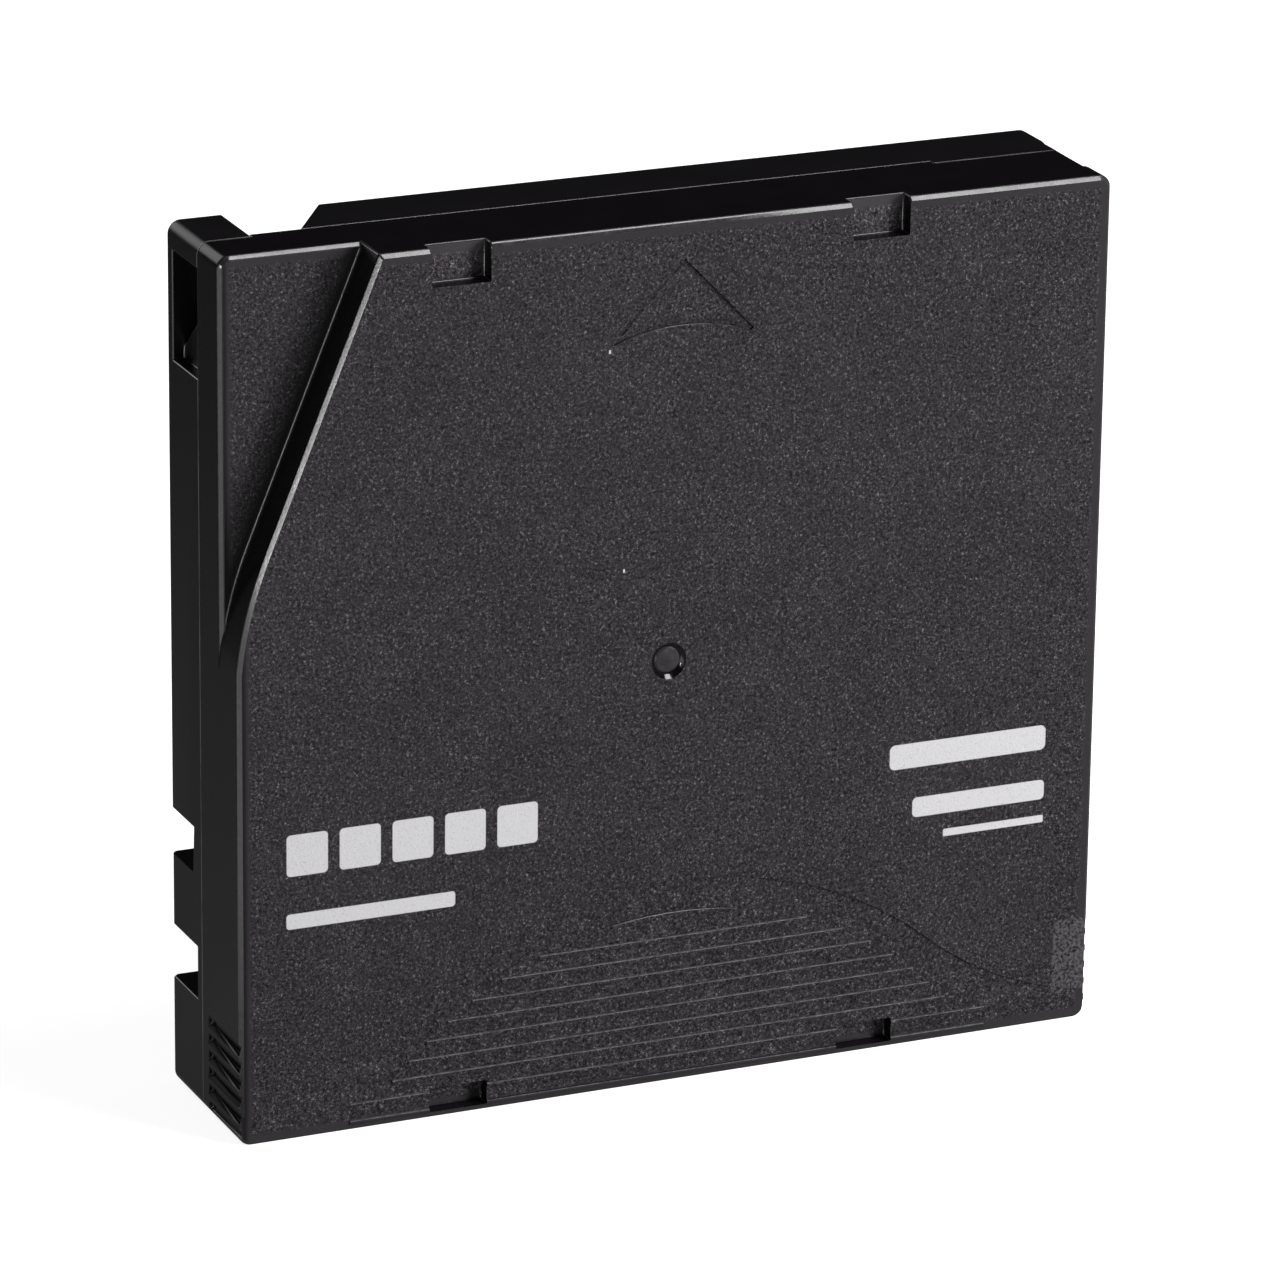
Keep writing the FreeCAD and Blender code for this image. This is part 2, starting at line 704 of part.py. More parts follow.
def upper_shell():
    blank = outer_block().cut(lower_zone())
    shell = blank.cut(cavity())
    inside = [post(BOSS_R, (PART_Z, CEIL), spot) for spot in SCREW_SPOTS]
    inside += edge_pockets(SKIN)
    inside.append(brake_key(0, (KEY_FOOT, CEIL)))
    inside.append(pin_pad((WINDOW_Z[1], CEIL)))
    inside.append(clip_stop((WINDOW_Z[1] - CLIP_H, CEIL)))
    inside.append(door_rail((CEIL - RAIL_H, CEIL)))
    inside.append(spring_seat((PART_Z, CEIL)))
    shell = joined([shell] + [piece.common(blank) for piece in inside])

    cutters = edge_pockets(0) + grip_grooves()
    cutters += [post(SHANK_R, (PART_Z - 1, SCREW_TIP_Z), spot) for spot in SCREW_SPOTS]
    cutters.append(gate_dimple())
    cutters += arrow_lines()
    cutters.append(label_recess())
    cutters.append(door_channel())
    cutters += door_openings()
    cutters.append(bell_field().cut(joined(field_ribs())))
    for cutter in cutters:
        shell = shell.cut(cutter)
    return shell


# ---------------------------------------------------------------- fasteners

def case_screws():
    screws = []
    for spot in SCREW_SPOTS:
        head = disc(HEAD_R, (HEAD_SEAT_Z - HEAD_H, HEAD_SEAT_Z), spot)
        shank = post(SHANK_R, (HEAD_SEAT_Z, SCREW_TIP_Z), spot)
        screws.append(head.fuse(shank).removeSplitter())
    return Part.Compound(screws)


# ---------------------------------------------------------------- reel

def leg_openings():
    """Slots through the web for the release plate's legs."""
    y = (HUB_Y - RELEASE_ARM_W / 2 - LEG_GAP, HUB_Y + RELEASE_ARM_W / 2 + LEG_GAP)
    x = (HUB_X + LEG_IN_R - LEG_GAP, HUB_X + LEG_OUT_R + LEG_GAP)
    slot = box(x, y, (0, WEB_TOP + 1))
    return [turned(slot, 360.0 * i / LEGS) for i in range(LEGS)]


def drive_teeth():
    """Ring of teeth under the web, with a gap at each leg of the brake release."""
    teeth = face_teeth(DRIVE_IN_R, DRIVE_OUT_R, REEL_Z, REEL_Z - DRIVE_H, DRIVE_TEETH)
    run = DRIVE_TEETH // LEGS
    return [t for i, t in enumerate(teeth) if DRIVE_SKIP < i % run < run - DRIVE_SKIP]


def reel_hub():
    barrel = ring(HUB_IN_R, HUB_R, (REEL_Z, UPPER_FLANGE_Z))
    web = disc(HUB_R, (REEL_Z, WEB_TOP))
    flange = ring(HUB_R - 1, FLANGE_R, (LOWER_FLANGE_Z, LOWER_FLANGE_Z + FLANGE_T))
    body = joined([barrel, web, flange]).fuse(drive_teeth())
    brake_tip = WEB_TOP + BRAKE_TOOTH_H
    body = body.fuse(face_teeth(BRAKE_IN_R, BRAKE_OUT_R, WEB_TOP, brake_tip, BRAKE_TEETH,
                                BRAKE_BACKLASH))
    return body.removeSplitter().cut(leg_openings())


def upper_flange():
    return ring(HUB_IN_R, FLANGE_R, (UPPER_FLANGE_Z, UPPER_FLANGE_Z + FLANGE_T))


def clutch_plate():
    return ring(PLATE_IN_R, PLATE_R, (REEL_Z - PLATE_T, REEL_Z))


def tape_pack():
    return ring(HUB_R, PACK_R, (TAPE_Z, TAPE_Z + TAPE_W))


# ---------------------------------------------------------------- brake

def brake_button():
    plate = disc(BUTTON_R, (BUTTON_Z, BUTTON_Z + BUTTON_T))
    sleeve = disc(SLEEVE_R, (BUTTON_Z, SLEEVE_TOP))
    body = plate.fuse(sleeve)
    teeth = face_teeth(BRAKE_IN_R, BRAKE_OUT_R, BUTTON_Z, BUTTON_Z - BRAKE_TOOTH_H, BRAKE_TEETH,
                       BRAKE_BACKLASH)
    half_step = 180.0 / BRAKE_TEETH
    body = body.fuse([turned(tooth, half_step) for tooth in teeth]).removeSplitter()
    return body.cut(brake_key(KEY_GAP, (SOCKET_FLOOR, SLEEVE_TOP + 1)))


def brake_release_plate():
    z = (WEB_TOP, WEB_TOP + RELEASE_T)
    half = RELEASE_ARM_W / 2
    arm = box((HUB_X, HUB_X + LEG_OUT_R), (HUB_Y - half, HUB_Y + half), z)
    leg = box((HUB_X + LEG_IN_R, HUB_X + LEG_OUT_R), (HUB_Y - half, HUB_Y + half),
              (LEG_FOOT, z[1]))
    spider = [disc(RELEASE_R, z), disc(RELEASE_R / 2, (z[0], BUTTON_Z))]
    for i in range(LEGS):
        spider.append(turned(arm, 360.0 * i / LEGS))
        spider.append(turned(leg, 360.0 * i / LEGS))
    return joined(spider)


def brake_spring():
    foot = BUTTON_Z + BUTTON_T
    spring = coil(BRAKE_COIL_R, BRAKE_WIRE_R, CEIL - foot, BRAKE_TURNS)
    spring.translate(V(HUB_X, HUB_Y, foot))
    return spring


# ---------------------------------------------------------------- door

def access_door():
    face = HALF - RECESS
    plate = box((face - DOOR_T, face), DOOR_Y, DOOR_Z)
    lip = box((face - LIP_ROOT, face + LIP_OUT), LIP_Y, LIP_Z)
    tab = box((face - DOOR_T - TAB_REACH, face), (DOOR_Y[0], DOOR_Y[0] + TAB_L), TAB_Z)
    return joined([plate, lip, tab])


def door_spring():
    spring = coil(SPRING_R, SPRING_WIRE_R, DOOR_Y[0] - SPRING_SEAT_Y, SPRING_TURNS)
    spring.rotate(V(0, 0, 0), V(1, 0, 0), -90)
    spring.translate(V(SPRING_X, SPRING_SEAT_Y, SPRING_Z))
    return spring


# ---------------------------------------------------------------- leader pin

def leader_pin():
    spot = (PIN_X, PIN_Y)
    low = TAPE_Z - PIN_COLLAR_T
    high = TAPE_Z + TAPE_W
    shaft = disc(PIN_R, WINDOW_Z, spot)
    collars = [disc(PIN_COLLAR_R, (z, z + PIN_COLLAR_T), spot) for z in (low, high)]
    return joined([shaft] + collars)


def tape_clamp():
    spot = (PIN_X, PIN_Y)
    z = (TAPE_Z, TAPE_Z + TAPE_W)
    sleeve = ring(PIN_R, CLAMP_R, z, spot)
    mouth = sector(CLAMP_R, 180 - CLAMP_MOUTH / 2, 180 + CLAMP_MOUTH / 2, z, spot)
    return sleeve.cut(mouth)


def pin_clip(z):
    """Hairpin of spring steel strip with its two arms along both sides of the pin."""
    gap = PIN_R + CLIP_GAP
    spot = (CLIP_BEND_X, PIN_Y)
    bend = ring(gap, gap + CLIP_T, z, spot)
    out = gap + CLIP_T
    bend = bend.common(box((CLIP_BEND_X - out, CLIP_BEND_X), (PIN_Y - out, PIN_Y + out), z))
    span = (CLIP_BEND_X, CLIP_END_X)
    arms = [box(span, (PIN_Y + gap, PIN_Y + gap + CLIP_T), z),
            box(span, (PIN_Y - gap - CLIP_T, PIN_Y - gap), z)]
    return joined([bend] + arms)


def leader_tape():
    """Flat run of tape from the clamp to the wound pack, tangent to both."""
    pack_r = PACK_R + LEADER_GAP
    dx = PIN_X - HUB_X
    dy = PIN_Y - HUB_Y
    apart = math.hypot(dx, dy)
    angle = math.degrees(math.atan2(dy, dx) - math.acos((pack_r - CLAMP_R) / apart))
    run = math.sqrt(apart ** 2 - (pack_r - CLAMP_R) ** 2)
    strip = box((CLAMP_R, CLAMP_R + LEADER_T), (-run, 0), (TAPE_Z, TAPE_Z + TAPE_W))
    strip.rotate(V(0, 0, 0), V(0, 0, 1), angle)
    strip.translate(V(PIN_X, PIN_Y, 0))
    return strip


# ---------------------------------------------------------------- write-protect slider

def write_protect_tab():
    plate = box(SLIDER_X, SLIDER_Y, SLIDER_Z)
    thumb = box(THUMB_X, (THUMB_Y, SLIDER_Y[1]), THUMB_Z)
    body = joined([plate, thumb])
    pitch = (THUMB_X[1] - THUMB_X[0]) / (THUMB_GRIPS + 1)
    half = THUMB_GRIP_W / 2
    grip_y = (THUMB_Y - 1, THUMB_Y + THUMB_GRIP_DEPTH)
    grip_z = (THUMB_Z[0] - 1, THUMB_Z[1] + 1)
    for i in range(THUMB_GRIPS):
        x = THUMB_X[0] + (i + 1) * pitch
        body = body.cut(box((x - half, x + half), grip_y, grip_z))
    return body


# ---------------------------------------------------------------- memory board

def leaning(shape):
    """Lay a piece drawn flat, with its lower edge on y = 0, against the sloped ribs."""
    shape.rotate(V(0, 0, 0), V(1, 0, 0), 135)
    shape.translate(V(0, BOARD_SUM - FLOOR, FLOOR))
    return shape


def memory_board():
    return leaning(box(BOARD_X, (0, BOARD_L), (-BOARD_T, 0)))


def memory_chip():
    x = (BOARD_X[0] + BOARD_X[1] - CHIP_SIDE) / 2
    y = (BOARD_L - CHIP_SIDE) / 2
    chip = box((x, x + CHIP_SIDE), (y, y + CHIP_SIDE), (-BOARD_T - CHIP_T, -BOARD_T))
    return leaning(chip)


# ---------------------------------------------------------------- all pieces

def stand(shape):
    """Set a piece on the cartridge's rear edge, with the top face towards -Y."""
    placed = shape.copy()
    placed.rotate(V(0, 0, 0), V(1, 0, 0), 90)
    placed.translate(V(0, THICK / 2, 0))
    return placed


PIECES = {
    "upper_shell": upper_shell(),
    "lower_shell": lower_shell(),
    "case_screws": case_screws(),
    "reel_hub": reel_hub(),
    "upper_flange": upper_flange(),
    "clutch_plate": clutch_plate(),
    "tape_pack": tape_pack(),
    "brake_button": brake_button(),
    "brake_spring": brake_spring(),
    "brake_release_plate": brake_release_plate(),
    "access_door": access_door(),
    "door_spring": door_spring(),
    "leader_pin": leader_pin(),
    "tape_clamp": tape_clamp(),
    "leader_tape": leader_tape(),
    "pin_clip_lower": pin_clip((WINDOW_Z[0], WINDOW_Z[0] + CLIP_H)),
    "pin_clip_upper": pin_clip((WINDOW_Z[1] - CLIP_H, WINDOW_Z[1])),
    "write_protect_tab": write_protect_tab(),
    "memory_board": memory_board(),
    "memory_chip": memory_chip(),
}

for name, shape in PIECES.items():
    piece = stand(shape)
    piece.exportStep("parts/" + name + ".step")
    print(name, len(piece.Solids), "solids", piece.isValid(), round(piece.Volume, 1), "mm3")
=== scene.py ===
import math

import bmesh
import bpy
from mathutils import Matrix, Vector


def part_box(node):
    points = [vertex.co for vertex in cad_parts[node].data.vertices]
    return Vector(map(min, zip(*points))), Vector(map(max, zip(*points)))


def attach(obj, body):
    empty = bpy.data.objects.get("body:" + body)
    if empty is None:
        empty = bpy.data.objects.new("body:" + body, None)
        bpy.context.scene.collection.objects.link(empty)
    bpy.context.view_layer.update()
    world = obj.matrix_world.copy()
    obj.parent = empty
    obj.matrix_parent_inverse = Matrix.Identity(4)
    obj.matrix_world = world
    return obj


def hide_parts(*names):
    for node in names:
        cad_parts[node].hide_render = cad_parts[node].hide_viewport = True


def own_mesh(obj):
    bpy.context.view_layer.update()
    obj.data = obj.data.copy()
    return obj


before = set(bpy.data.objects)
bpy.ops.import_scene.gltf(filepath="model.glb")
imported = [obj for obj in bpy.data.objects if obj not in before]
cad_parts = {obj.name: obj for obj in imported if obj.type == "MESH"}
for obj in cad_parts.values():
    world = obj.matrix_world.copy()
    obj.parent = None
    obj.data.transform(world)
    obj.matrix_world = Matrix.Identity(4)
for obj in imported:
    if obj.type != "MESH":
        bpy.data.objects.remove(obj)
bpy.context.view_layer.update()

# Half-inch data tape cartridge, dressed: soft edges on the moulded pieces, spark-grained faces with
# smooth gloss sides, plain printed fields, and the small parts' own finishes.
# Metres.  The case stands on its rear edge, with its top face towards -Y.

MM = 0.001
CASE_LOW, CASE_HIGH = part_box("upper_shell")
CASE_LOW = Vector((CASE_LOW.x, CASE_LOW.y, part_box("lower_shell")[0].z))
CASE_HIGH = Vector((CASE_HIGH.x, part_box("lower_shell")[1].y, CASE_HIGH.z))
FACE_Y = CASE_LOW.y                 # the top face
BACK_Y = CASE_HIGH.y                # the underside
HALF = CASE_HIGH.x
TOP = CASE_HIGH.z
SEAM_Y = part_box("lower_shell")[0].y
HUB = (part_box("clutch_plate")[0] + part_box("clutch_plate")[1]) / 2

FIELD_DEPTH = 0.2 * MM              # how far these lie below the top face
SHELF_DEPTH = 5.3 * MM
POCKET_DEPTH = 2.0 * MM
ENGRAVED_DEPTH = 0.27 * MM
ARROW_ZONE = 20 * MM                # the arrow lies this close to the front edge
ON_LEVEL = 0.02 * MM                # a face or corner this close to a level lies on it

SOFT_EDGE = 0.18 * MM               # rounding of the moulded edges
SOFT_TOOTH = 0.06 * MM              # the same on teeth and other fine parts
SOFT_HEAD = 0.12 * MM               # and on the rims of the screw heads
SHARP = math.radians(32)            # edges that fold more than this are rounded
CRISP = math.radians(34)            # and smooth shading stops at folds above this
SEAM_LINE = 0.20 * MM               # width of the painted highlight line on the lower shell along the joint
CREST_EDGE = 0.08 * MM              # bevel along the crests of the fine ribs and arcs
BEVEL_EDGE = 0.16 * MM              # rounding of both rims of each 45 degree bevel

# Plain printed fields on the top face: centre x, centre z, half width, half height, corner radius.
SQUARE = 2.45 * MM
SQUARE_CORNER = 0.5 * MM
SQUARE_COUNT = 5
SQUARE_PITCH = 6.3 * MM
SQUARE_ROW = (-44.6 * MM, 34.0 * MM)
BARS = (
    (-37.0 * MM, 26.2 * MM, 10.1 * MM, 0.9 * MM, 0.4 * MM),
    (36.5 * MM, 35.6 * MM, 9.9 * MM, 1.5 * MM, 0.7 * MM),
    (38.0 * MM, 29.2 * MM, 8.4 * MM, 1.2 * MM, 0.6 * MM),
    (40.0 * MM, 25.6 * MM, 6.4 * MM, 0.45 * MM, 0.2 * MM),
)
PRINT_BLUR = 0.04 * MM
SCUFF = (50.2 * MM, 8.0 * MM, 2.0 * MM, 4.6 * MM, 0.8 * MM)     # paler rubbed patch
SPECKS = (                                                      # dust
    (-8.74 * MM, 88.01 * MM, 0.11 * MM, 0.22 * MM, 0.10 * MM),
    (-6.76 * MM, 62.33 * MM, 0.11 * MM, 0.22 * MM, 0.10 * MM),
)

# Sizes of the grain, of the plain bands beside the edges, and of the bands of painted shade and
# painted highlight.
GRAIN = 0.36 * MM
FINE_GRAIN = 0.15 * MM
GRAIN_HEIGHT = 0.07 * MM
PLAIN_BAND = (1.1 * MM, 1.6 * MM)   # the grain starts between these distances from an edge
LEFT_SHADE_BAND = (0.7 * MM, 1.2 * MM)    # the painted shade line beside the left bevel ends here
FOOT_SHADE_BAND = (0.5 * MM, 1.8 * MM)    # the strip of painted shade at the guide wall's foot ends here
RIB_HIGHLIGHT_DEPTHS = (0.04 * MM, 0.12 * MM) # the painted highlight on the ribs fades out between these depths

# Colours of the black plastic, of what is on it, and of the light and shade painted onto it.
GRAIN_HOLLOW = (0.006, 0.0046, 0.0060)
GRAIN_TOP = (0.064, 0.0580, 0.0642)
GRAIN_PAINTED_GLINT = (0.23, 0.222, 0.230)
BAND_GREY = (0.036, 0.0326, 0.0362)
# gloss black of the gate dimple, also used as the painted shade at the guide wall's foot
GLOSS_BLACK_AND_FOOT_SHADE = (0.0045, 0.004, 0.0045)
SIDE_BLACK = (0.0048, 0.0039, 0.0049)
LOWER_BLACK = (0.0075, 0.0066, 0.0076)
DOOR_BLACK = (0.016, 0.0155, 0.0170)
LEFT_PAINTED_SHADE = (0.012, 0.0105, 0.012)
BEVEL_DARK, BEVEL_RUBBED = (0.030, 0.027, 0.030), (0.052, 0.048, 0.052)
# dark foot and painted highlight of the upper slopes of the fine ribs
RIB_FOOT, RIB_PAINTED_HIGHLIGHT = (0.008, 0.007, 0.008), (0.190, 0.183, 0.190)
SEAM_PAINTED_HIGHLIGHT = (0.30, 0.29, 0.30)
SCUFF_GREY = (0.105, 0.100, 0.105)
PRINT_GREY = (0.66, 0.65, 0.665)

FILM_DARK, FILM_LIGHT = (0.012, 0.009, 0.008), (0.045, 0.034, 0.028)
TRACK_PITCH = 0.35 * MM
BOARD_GREEN, TRACK_GREEN = (0.030, 0.120, 0.060), (0.075, 0.170, 0.070)


# ---------------------------------------------------------------- node helpers

def material(name, **values):
    """New material with its shader's plain values set; returns material, node tree and shader."""
    made = bpy.data.materials.new(name)
    made.use_nodes = True
    shader = made.node_tree.nodes["Principled BSDF"]
    for key, value in values.items():
        shader.inputs[key.replace("_", " ").title().replace("Ior", "IOR")].default_value = value
    return made, made.node_tree, shader


def math_node(tree, operation, a, b=None):
    """One sum of two numbers or sockets."""
    node = tree.nodes.new("ShaderNodeMath")
    node.operation = operation
    for socket, value in zip(node.inputs, (a, b)):
        if value is None:
            continue
        if isinstance(value, (int, float)):
            socket.default_value = value
        else:
            tree.links.new(value, socket)
    return node.outputs[0]


def place(tree):
    """Object coordinates, whole and as x, y and z."""
    spot = tree.nodes.new("ShaderNodeTexCoord").outputs["Object"]
    split = tree.nodes.new("ShaderNodeSeparateXYZ")
    tree.links.new(spot, split.inputs[0])
    return spot, split.outputs[0], split.outputs[1], split.outputs[2]


def noise(tree, spot, size, detail=2.0, roughness=0.5):
    """Noise with features of about the given size in metres."""
    node = tree.nodes.new("ShaderNodeTexNoise")
    node.inputs["Scale"].default_value = 1.0 / size
    node.inputs["Detail"].default_value = detail
    node.inputs["Roughness"].default_value = roughness
    tree.links.new(spot, node.inputs["Vector"])
    return node.outputs["Fac"]


def spread(tree, value, low, high, to_low=0.0, to_high=1.0):
    """Map a value from one range to another, clamped."""
    node = tree.nodes.new("ShaderNodeMapRange")
    tree.links.new(value, node.inputs["Value"])
    node.inputs["From Min"].default_value = low
    node.inputs["From Max"].default_value = high
    node.inputs["To Min"].default_value = to_low
    node.inputs["To Max"].default_value = to_high
    return node.outputs[0]


def mix_colour(tree, share, one, two, blend="MIX"):
    """From one colour to the other by a share, or both multiplied where blend says so."""
    node = tree.nodes.new("ShaderNodeMix")
    node.data_type = "RGBA"
    node.blend_type = blend
    if isinstance(share, float):
        node.inputs[0].default_value = share
    else:
        tree.links.new(share, node.inputs[0])
    for socket, value in ((node.inputs[6], one), (node.inputs[7], two)):
        if isinstance(value, tuple):
            socket.default_value = (*value, 1.0)
        else:
            tree.links.new(value, socket)
    return node.outputs[2]


def bump(tree, shader, height, distance):
    """Fine relief of the given height in metres."""
    node = tree.nodes.new("ShaderNodeBump")
    node.inputs["Distance"].default_value = distance
    node.inputs["Strength"].default_value = 1.0
    tree.links.new(height, node.inputs["Height"])
    tree.links.new(node.outputs[0], shader.inputs["Normal"])


def length_of(tree, across, up):
    """Length of a flat vector from its two parts."""
    squares = [math_node(tree, "MULTIPLY", part, part) for part in (across, up)]
    return math_node(tree, "SQRT", math_node(tree, "ADD", *squares))


def ring_spot(tree, x, z, centre):
    """A spot that moves only with the distance from an upright line, so that noise makes rings."""
    dx = math_node(tree, "SUBTRACT", x, centre.x)
    dz = math_node(tree, "SUBTRACT", z, centre.z)
    join = tree.nodes.new("ShaderNodeCombineXYZ")
    tree.links.new(length_of(tree, dx, dz), join.inputs[0])
    return join.outputs[0]


def bar_mask(tree, x, z, bar):
    """1 inside a bar with rounded corners, 0 outside."""
    centre_x, centre_z, half_w, half_h, corner = bar
    reach = []
    for value, centre, half in ((x, centre_x, half_w), (z, centre_z, half_h)):
        away = math_node(tree, "ABSOLUTE", math_node(tree, "SUBTRACT", value, centre))
        past = math_node(tree, "SUBTRACT", away, half - corner)
        reach.append(math_node(tree, "MAXIMUM", past, 0.0))
    return spread(tree, length_of(tree, *reach), corner - PRINT_BLUR, corner + PRINT_BLUR, 1.0, 0.0)


def print_mask(tree, x, z):
    """All the printed fields, a row of squares and some bars, and two specks of dust."""
    first, height = SQUARE_ROW
    last = first + SQUARE_COUNT * SQUARE_PITCH
    along = math_node(tree, "SUBTRACT", x, first - SQUARE_PITCH / 2)
    within = math_node(tree, "PINGPONG", along, SQUARE_PITCH / 2)
    folded = math_node(tree, "SUBTRACT", SQUARE_PITCH / 2, within)
    row = bar_mask(tree, folded, z, (0.0, height, SQUARE, SQUARE, SQUARE_CORNER))
    left = math_node(tree, "GREATER_THAN", x, first - SQUARE_PITCH / 2)
    right = math_node(tree, "LESS_THAN", x, last - SQUARE_PITCH / 2)
    total = math_node(tree, "MULTIPLY", row, math_node(tree, "MULTIPLY", left, right))
    for bar in BARS + SPECKS:
        total = math_node(tree, "MAXIMUM", total, bar_mask(tree, x, z, bar))
    return total


# ---------------------------------------------------------------- materials

def foot_shade_share(tree, x, y, z, wall):
    """0 on the strip of painted shade on the shelf at the foot of the guide wall, 1 away from it."""
    normal, offset = wall
    along_x = math_node(tree, "MULTIPLY", x, normal.x)
    along_z = math_node(tree, "MULTIPLY", z, normal.z)
    away = math_node(tree, "SUBTRACT", math_node(tree, "ADD", along_x, along_z), offset)
    share = spread(tree, away, *FOOT_SHADE_BAND)
    on_face = math_node(tree, "LESS_THAN", y, FACE_Y + SHELF_DEPTH / 2)
    return math_node(tree, "MAXIMUM", share, on_face)


def inside_edges(tree, x, z):
    """0 on the plain band along the four edges of the case, 1 where the grain has started."""
    edge_x = math_node(tree, "SUBTRACT", HALF, math_node(tree, "ABSOLUTE", x))
    edge_z = math_node(tree, "MINIMUM", z, math_node(tree, "SUBTRACT", TOP, z))
    return spread(tree, math_node(tree, "MINIMUM", edge_x, edge_z), *PLAIN_BAND)


def grained_plastic(name, printed=False, wall=None, painted_light_gain=1.0):
    """Charcoal plastic with a fine spark-eroded grain, smooth close to the case's edges, with
    painted glints in the grain, a painted shade line beside the left bevel, where asked painted
    shade at the guide wall's foot, and a factor that lightens it all as painted light.
    """
    made, tree, shader = material(name, specular_ior_level=0.35)
    spot, x, y, z = place(tree)
    grain = noise(tree, spot, GRAIN, 3.0, 0.65)
    fine = noise(tree, spot, FINE_GRAIN, 2.0, 0.6)
    broad = noise(tree, spot, 9 * MM, 2.0)
    tone = math_node(tree, "ADD", math_node(tree, "MULTIPLY", grain, 0.54),
                     math_node(tree, "MULTIPLY", fine, 0.46))
    inner = inside_edges(tree, x, z)

    colour = mix_colour(tree, spread(tree, tone, 0.40, 0.60), GRAIN_HOLLOW, GRAIN_TOP)
    # painted glints on the brightest flecks of the grain
    colour = mix_colour(tree, spread(tree, tone, 0.58, 0.66), colour, GRAIN_PAINTED_GLINT)
    colour = mix_colour(tree, inner, BAND_GREY, colour)
    # painted shade: the shelf darkens to near black at the guide wall's foot, where the wall's
    # shadow falls
    if wall:
        colour = mix_colour(tree, foot_shade_share(tree, x, y, z, wall), GLOSS_BLACK_AND_FOOT_SHADE, colour)
    # painted shade: a dark line along the left edge, beside the bevel
    left_shade_share = spread(tree, math_node(tree, "ADD", x, HALF), *LEFT_SHADE_BAND)
    colour = mix_colour(tree, left_shade_share, LEFT_PAINTED_SHADE, colour)
    # random broad tone, times the painted light factor that lightens the pocket floors
    shade = mix_colour(tree, spread(tree, broad, 0.3, 0.7), (0.90 * painted_light_gain,) * 3, (1.06 * painted_light_gain,) * 3)
    colour = mix_colour(tree, 1.0, colour, shade, blend="MULTIPLY")
    if printed:
        flecks = spread(tree, grain, 0.42, 0.60)
        scuffed = math_node(tree, "MULTIPLY", bar_mask(tree, x, z, SCUFF), flecks)
        colour = mix_colour(tree, scuffed, colour, SCUFF_GREY)
        broken_up = spread(tree, fine, 0.30, 0.42, 0.72, 1.0)
        ink = math_node(tree, "MULTIPLY", print_mask(tree, x, z), broken_up)
        colour = mix_colour(tree, ink, colour, PRINT_GREY)

    tree.links.new(colour, shader.inputs["Base Color"])
    tree.links.new(spread(tree, tone, 0.35, 0.65, 0.62, 0.42), shader.inputs["Roughness"])
    bump(tree, shader, math_node(tree, "MULTIPLY", tone, inner), GRAIN_HEIGHT)
    return made


def smooth_plastic(name, colour=SIDE_BLACK, roughness=0.24, level=0.30, seam=False):
    """Gloss moulded plastic with a faint unevenness, rubbed patches and, if asked, a painted
    highlight line along the seam.
    """
    made, tree, shader = material(name, specular_ior_level=level)
    spot, _, y, _ = place(tree)
    patches = noise(tree, spot, 6 * MM, 3.0, 0.6)
    fine = noise(tree, spot, 0.5 * MM, 2.0)
    lighter = tuple(c * 1.25 for c in colour)
    base = mix_colour(tree, spread(tree, patches, 0.35, 0.7), colour, lighter)
    # painted highlight: a bright line along the joint, broken up by the patches
    if seam:
        off_seam = math_node(tree, "SUBTRACT", y, SEAM_Y + SEAM_LINE / 2)
        line = spread(tree, math_node(tree, "ABSOLUTE", off_seam), 0.35 * SEAM_LINE, 0.6 * SEAM_LINE,
                      1.0, 0.0)
        broken_up = spread(tree, patches, 0.3, 0.6, 0.35, 1.0)
        base = mix_colour(tree, math_node(tree, "MULTIPLY", line, broken_up), base, SEAM_PAINTED_HIGHLIGHT)
    tree.links.new(base, shader.inputs["Base Color"])
    tree.links.new(spread(tree, patches, 0.2, 0.8, roughness - 0.01, roughness + 0.03),
                   shader.inputs["Roughness"])
    bump(tree, shader, fine, 0.002 * MM)
    return made


def edge_plastic(name):
    """The narrow bevels: polished by handling, so they catch more light."""
    made, tree, shader = material(name, specular_ior_level=0.8)
    spot = place(tree)[0]
    rubbed = noise(tree, spot, 1.6 * MM, 3.0, 0.65)
    tree.links.new(mix_colour(tree, spread(tree, rubbed, 0.4, 0.66), BEVEL_DARK, BEVEL_RUBBED),
                   shader.inputs["Base Color"])
    tree.links.new(spread(tree, rubbed, 0.3, 0.7, 0.18, 0.28), shader.inputs["Roughness"])
    bump(tree, shader, noise(tree, spot, 0.3 * MM), 0.008 * MM)
    return made


def rib_highlight_plastic(name):
    """Upper slopes of the fine ribs, with a painted highlight along their crests, broken up here and
    there.
    """
    made, tree, shader = material(name, specular_ior_level=0.4)
    spot, _, y, _ = place(tree)
    rubbed = noise(tree, spot, 0.7 * MM, 3.0, 0.7)
    crest = spread(tree, y, FACE_Y + RIB_HIGHLIGHT_DEPTHS[0], FACE_Y + RIB_HIGHLIGHT_DEPTHS[1], 1.0, 0.0)
    # painted highlight: bright near the crest, dark foot below, broken up by the noise
    share = math_node(tree, "MULTIPLY", crest, spread(tree, rubbed, 0.34, 0.62, 0.25, 1.0))
    tree.links.new(mix_colour(tree, share, RIB_FOOT, RIB_PAINTED_HIGHLIGHT), shader.inputs["Base Color"])
    tree.links.new(spread(tree, rubbed, 0.3, 0.7, 0.52, 0.36), shader.inputs["Roughness"])
    bump(tree, shader, noise(tree, spot, 0.2 * MM), 0.02 * MM)
    return made


